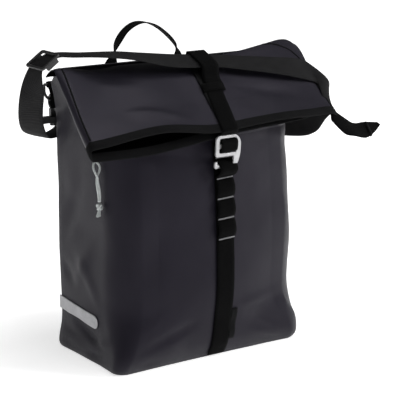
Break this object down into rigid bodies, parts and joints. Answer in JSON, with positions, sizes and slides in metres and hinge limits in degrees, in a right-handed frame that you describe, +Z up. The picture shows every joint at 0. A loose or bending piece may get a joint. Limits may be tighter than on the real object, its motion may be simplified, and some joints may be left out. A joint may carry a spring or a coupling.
{
  "type": "bicycle pannier bag",
  "caption": "Roll-top bicycle pannier bag with a folded collar, hook-and-loop webbing closure, shoulder strap, front webbing and carrier hooks on the back",
  "frame": {"origin": "centre of the flat base, on the surface the bag stands on", "axes": "+X along the bag's width, +Y towards the carrier side, +Z up"},
  "size_m": [0.5309, 0.2566, 0.466],
  "materials": {
    "shell_fabric": "woven coated cloth",
    "collar_fabric": "woven coated cloth",
    "black_webbing": "woven webbing",
    "reflective": "glass-bead reflective film",
    "pale_cord": "braided cord",
    "pale_thread": "satin stitch thread",
    "hook_metal": "satin anodised",
    "black_plastic": "fine moulded texture",
    "latch_plastic": "moulded",
    "clip_metal": "plated",
    "board": "sheet"
  },
  "bodies": {
    "root": {"base_panel": "shell_fabric", "back_panel": "shell_fabric", "front_panel": "shell_fabric", "side_panel_left": "shell_fabric", "side_panel_right": "shell_fabric", "back_stiffener": "board", "throat_front": "shell_fabric", "throat_back": "shell_fabric", "ear_left": "shell_fabric", "ear_right": "shell_fabric", "reflector_left": "reflective", "reflector_right": "reflective", "daisy_webbing": "black_webbing", "daisy_loops": "black_webbing", "hook_loop": "black_webbing", "bar_tacks": "pale_thread", "side_tag": "black_webbing", "zip_tape": "black_webbing", "shoulder_strap_left": "black_webbing", "shoulder_strap_right": "black_webbing", "handle_anchors": "black_webbing", "ring_tab_left": "black_webbing", "ring_tab_right": "black_webbing", "d_ring_left": "clip_metal", "d_ring_right": "clip_metal", "clip_base_left": "black_plastic", "clip_base_right": "black_plastic", "hook_rail": "black_plastic", "panel_screws": "clip_metal", "lower_rail": "black_plastic"},
    "rolltop": {"collar_outer": "collar_fabric", "collar_inner": "shell_fabric", "collar_edge_left": "collar_fabric", "collar_edge_right": "collar_fabric", "outer_lip_binding": "black_webbing", "inner_lip_binding": "black_webbing", "closure_webbing": "black_webbing", "closure_tail": "black_webbing", "elastic_keeper": "black_webbing", "strap_keeper": "black_webbing", "closure_loop": "black_webbing", "end_tab": "black_webbing", "shoulder_strap_over": "black_webbing"},
    "g_hook": {"g_hook": "hook_metal"},
    "tri_glide": {"tri_glide": "black_plastic"},
    "carry_handle": {"carry_handle": "black_webbing"},
    "zip_slider": {"zip_slider": "black_plastic"},
    "zip_pull": {"zip_puller": "black_plastic", "pull_cord": "pale_cord", "pull_knot": "pale_cord"},
    "snap_hook_left": {"snap_hook_left": "clip_metal"},
    "snap_hook_right": {"snap_hook_right": "clip_metal"},
    "snap_gate_left": {"snap_gate_left": "clip_metal"},
    "snap_gate_right": {"snap_gate_right": "clip_metal"},
    "rack_hook_left": {"rack_hook_left": "black_plastic"},
    "rack_hook_right": {"rack_hook_right": "black_plastic"},
    "hook_latch_left": {"hook_latch_left": "latch_plastic"},
    "hook_latch_right": {"hook_latch_right": "latch_plastic"},
    "anchor_slider": {"anchor_bolt": "clip_metal"},
    "anchor_arm": {"anchor_arm": "black_plastic"}
  },
  "joints": [
    {"name": "rolltop_fold", "type": "hinge", "parent": "root", "child": "rolltop", "pos_m": [0, -0.01, 0.431], "axis": [-1, 0, 0], "range_deg": [0, 100], "deforming": ["hook_loop"]},
    {"name": "g_hook_swing", "type": "hinge", "parent": "rolltop", "child": "g_hook", "pos_m": [0.004, -0.1235, 0.318], "axis": [-1, 0, 0], "range_deg": [0, 5], "deforming": ["hook_loop"]},
    {"name": "tri_glide_slide", "type": "slide", "parent": "root", "child": "tri_glide", "axis": [0.8137, 0, 0.5812], "range_m": [-0.006, 0.006]},
    {"name": "handle_fold", "type": "hinge", "parent": "root", "child": "carry_handle", "pos_m": [0, 0.0854, 0.391], "axis": [-1, 0, 0], "range_deg": [0, 100]},
    {"name": "zip_run", "type": "hinge", "parent": "root", "child": "zip_slider", "pos_m": [-0.095, -0.035, 0.316], "axis": [0, 0, 1], "range_deg": [0, 70]},
    {"name": "pull_swing", "type": "hinge", "parent": "zip_slider", "child": "zip_pull", "pos_m": [-0.1618, -0.0397, 0.317], "axis": [0, 1, 0], "range_deg": [0, 60]},
    {"name": "snap_swivel_left", "type": "hinge", "parent": "root", "child": "snap_hook_left", "pos_m": [-0.15, 0.097, 0.34], "axis": [0, 0, 1], "range_deg": [-20, 20]},
    {"name": "gate_left", "type": "hinge", "parent": "snap_hook_left", "child": "snap_gate_left", "pos_m": [-0.15, 0.0918, 0.3502], "axis": [-1, 0, 0], "range_deg": [0, 20], "stiffness_Nm_per_rad": 0.02},
    {"name": "rack_hook_slide_left", "type": "slide", "parent": "root", "child": "rack_hook_left", "axis": [1, 0, 0], "range_m": [-0.02, 0.02]},
    {"name": "latch_left", "type": "hinge", "parent": "rack_hook_left", "child": "hook_latch_left", "pos_m": [-0.0999, 0.0932, 0.3395], "axis": [-1, 0, 0], "range_deg": [0, 60], "stiffness_Nm_per_rad": 0.02},
    {"name": "snap_swivel_right", "type": "hinge", "parent": "root", "child": "snap_hook_right", "pos_m": [0.15, 0.097, 0.34], "axis": [0, 0, 1], "range_deg": [-20, 20]},
    {"name": "gate_right", "type": "hinge", "parent": "snap_hook_right", "child": "snap_gate_right", "pos_m": [0.15, 0.0918, 0.3502], "axis": [-1, 0, 0], "range_deg": [0, 20], "stiffness_Nm_per_rad": 0.02},
    {"name": "rack_hook_slide_right", "type": "slide", "parent": "root", "child": "rack_hook_right", "axis": [1, 0, 0], "range_m": [-0.02, 0.02]},
    {"name": "latch_right", "type": "hinge", "parent": "rack_hook_right", "child": "hook_latch_right", "pos_m": [0.0999, 0.0932, 0.3395], "axis": [-1, 0, 0], "range_deg": [0, 60], "stiffness_Nm_per_rad": 0.02},
    {"name": "anchor_slide", "type": "slide", "parent": "root", "child": "anchor_slider", "axis": [1, 0, 0], "range_m": [-0.015, 0.015]},
    {"name": "anchor_turn", "type": "hinge", "parent": "anchor_slider", "child": "anchor_arm", "pos_m": [0, 0.0887, 0.12], "axis": [0, 1, 0], "range_deg": [-45, 45]}
  ]
}
